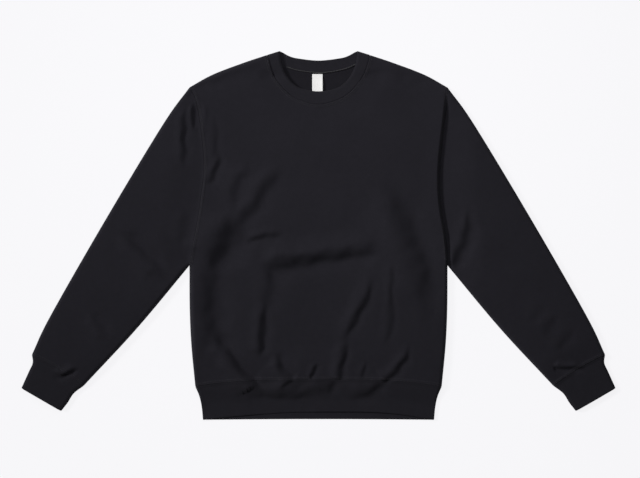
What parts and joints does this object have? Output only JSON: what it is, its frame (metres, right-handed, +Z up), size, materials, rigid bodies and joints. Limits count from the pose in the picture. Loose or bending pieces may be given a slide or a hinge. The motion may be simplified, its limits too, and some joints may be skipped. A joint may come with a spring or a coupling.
{
  "type": "crewneck sweatshirt",
  "caption": "Plain dark crewneck sweatshirt laid flat with its sleeves angled out, in brushed fleece with a ribbed collar, cuffs and hem band.",
  "frame": {"origin": "on the surface the garment lies on, under the middle of its outline", "axes": "+X across the garment towards the wearer's left sleeve, +Y from hem to neck, +Z up out of the front"},
  "size_m": [1.1288, 0.7006, 0.024],
  "materials": {
    "brushed_fleece": "matt jersey face of a brushed cotton fleece",
    "rib_knit": "matt fine rib knit, folded double",
    "woven_tape": "smooth woven tape, blank"
  },
  "bodies": {
    "root": {"front_panel": "brushed_fleece", "back_panel": "brushed_fleece", "left_sleeve": "brushed_fleece", "right_sleeve": "brushed_fleece", "collar": "rib_knit", "left_cuff": "rib_knit", "right_cuff": "rib_knit", "hem_band": "rib_knit", "neck_label": "woven_tape"}
  },
  "joints": []
}
